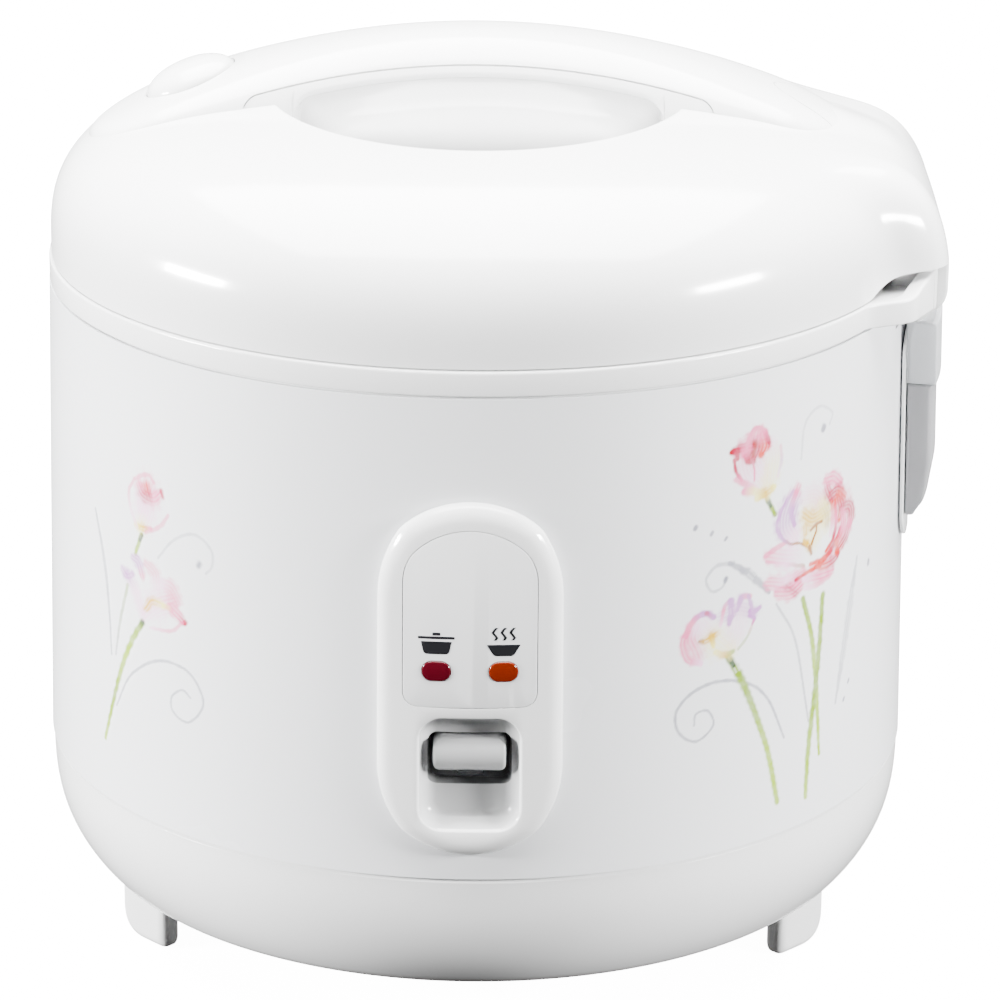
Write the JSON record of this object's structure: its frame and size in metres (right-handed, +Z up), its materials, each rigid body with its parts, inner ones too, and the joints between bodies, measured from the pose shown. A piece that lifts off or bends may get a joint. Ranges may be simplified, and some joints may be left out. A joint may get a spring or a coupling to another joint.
{
  "type": "rice cooker",
  "caption": "Free-standing electric rice cooker: round drum with a hinged domed lid, arched carrying handle, front panel with a lever key, lift-out pan, heater and dew collector.",
  "frame": {"origin": "on the surface the cooker stands on, below the middle of its footprint; the drum's axis is 5 mm towards -X and 2 mm towards +Y of it", "axes": "+Z up, -Y out of the control panel, +X towards the lid's hinge and the dew collector"},
  "size_m": [0.2752, 0.2695, 0.2785],
  "materials": {
    "white_shell": "glossy moulded white",
    "white_matte": "satin moulded white",
    "drum_paint": "pearl white paint with a printed flower pattern",
    "label_film": "pale grey printed film",
    "red_lens": "deep red lamp lens",
    "amber_lens": "orange lamp lens",
    "key_grey": "satin light grey",
    "clear_plastic": "clear plastic",
    "smoke_plastic": "smoke grey translucent plastic",
    "lamp_glass": "clear glass bulb",
    "aluminium": "satin aluminium",
    "pan_coating": "dark grey non-stick coating",
    "steel": "zinc plated",
    "brass": "bright",
    "dark_plastic": "black heat-proof moulding",
    "grey_plastic": "light grey moulding",
    "ceramic": "cream ceramic",
    "board": "circuit board",
    "band_silicone": "heater band",
    "silicone": "translucent grey silicone"
  },
  "bodies": {
    "housing": {"base_casing": "white_shell", "bottom_cover": "white_matte", "cover_screw_1": "steel", "cover_screw_2": "steel", "cover_screw_3": "steel", "foot_front_left": "white_matte", "foot_front_right": "white_matte", "foot_rear_left": "white_matte", "foot_rear_right": "white_matte", "outer_drum": "drum_paint", "top_ring": "white_shell", "hinge_pin": "steel", "inner_liner": "aluminium", "inner_pan": "pan_coating", "heater_plate": "aluminium", "heating_element": "steel", "plate_post_1": "steel", "plate_post_2": "steel", "plate_post_3": "steel", "warm_heater_band": "band_silicone", "thermostat_housing": "steel", "sensor_spring": "steel", "lever_bracket": "steel", "lever_pin": "steel", "microswitch": "dark_plastic", "terminal_block": "ceramic", "thermal_fuse": "brass", "lamp_board": "board", "cook_lamp": "lamp_glass", "warm_lamp": "lamp_glass", "inlet_socket": "dark_plastic", "inlet_pin_left": "brass", "inlet_pin_right": "brass", "panel_bezel": "white_shell", "label_plate": "label_film", "cook_lamp_lens": "red_lens", "warm_lamp_lens": "amber_lens", "dew_bracket": "white_shell"},
    "lid": {"lid_shell": "white_shell", "hinge_spring": "steel", "lid_well": "white_shell", "handle_cover": "white_shell", "handle_grip": "white_shell", "latch_pin": "steel", "latch_spring": "steel", "lid_inner_frame": "grey_plastic", "inner_lid": "aluminium", "inner_lid_seal": "silicone", "inner_lid_grommet": "silicone"},
    "button": {"open_button": "white_shell"},
    "latch": {"latch_hook": "dark_plastic"},
    "vent_cap": {"steam_vent_cap": "white_matte"},
    "collector": {"dew_cup": "smoke_plastic", "dew_cover": "clear_plastic"},
    "key": {"cook_key": "key_grey", "key_link": "steel"},
    "lever": {"trip_lever": "steel"},
    "magnet": {"magnet_plunger": "steel"},
    "sensor": {"sensor_cap": "aluminium", "sensor_ferrite": "dark_plastic"}
  },
  "joints": [
    {"name": "lid_hinge", "type": "hinge", "parent": "housing", "child": "lid", "pos_m": [0.126, 0.002, 0.2093], "axis": [0, 1, 0], "range_deg": [0, 85]},
    {"name": "button_press", "type": "slide", "parent": "lid", "child": "button", "axis": [0.3575, 0, -0.9339], "range_m": [0, 0.0025], "stiffness_N_per_m": 400, "springref_m": -0.003, "deforming": ["latch_spring"]},
    {"name": "latch_swing", "type": "hinge", "parent": "lid", "child": "latch", "pos_m": [-0.106, 0.002, 0.238], "axis": [0, 1, 0], "range_deg": [0, 6.6]},
    {"name": "vent_cap_lift", "type": "slide", "parent": "lid", "child": "vent_cap", "axis": [0, 0, 1], "range_m": [0, 0.015]},
    {"name": "collector_pull", "type": "slide", "parent": "housing", "child": "collector", "axis": [1, 0, 0], "range_m": [0, 0.025]},
    {"name": "key_press", "type": "slide", "parent": "housing", "child": "key", "axis": [0, 0, -1], "range_m": [0, 0.0045], "stiffness_N_per_m": 400, "springref_m": -0.003},
    {"name": "lever_rock", "type": "hinge", "parent": "housing", "child": "lever", "pos_m": [-0.005, -0.048, 0.0366], "axis": [1, 0, 0], "range_deg": [0, 3.8]},
    {"name": "magnet_lift", "type": "slide", "parent": "housing", "child": "magnet", "axis": [0, 0, 1], "range_m": [0, 0.0035]},
    {"name": "sensor_press", "type": "slide", "parent": "housing", "child": "sensor", "axis": [0, 0, -1], "range_m": [0, 0.0015], "stiffness_N_per_m": 300, "springref_m": -0.004, "deforming": ["sensor_spring"]}
  ],
  "couplings": [
    {"joint": "latch_swing", "follows": "button_press", "rad_per_m": 46},
    {"joint": "lever_rock", "follows": "key_press", "rad_per_m": 14.14},
    {"joint": "magnet_lift", "follows": "key_press", "ratio": 0.75}
  ]
}
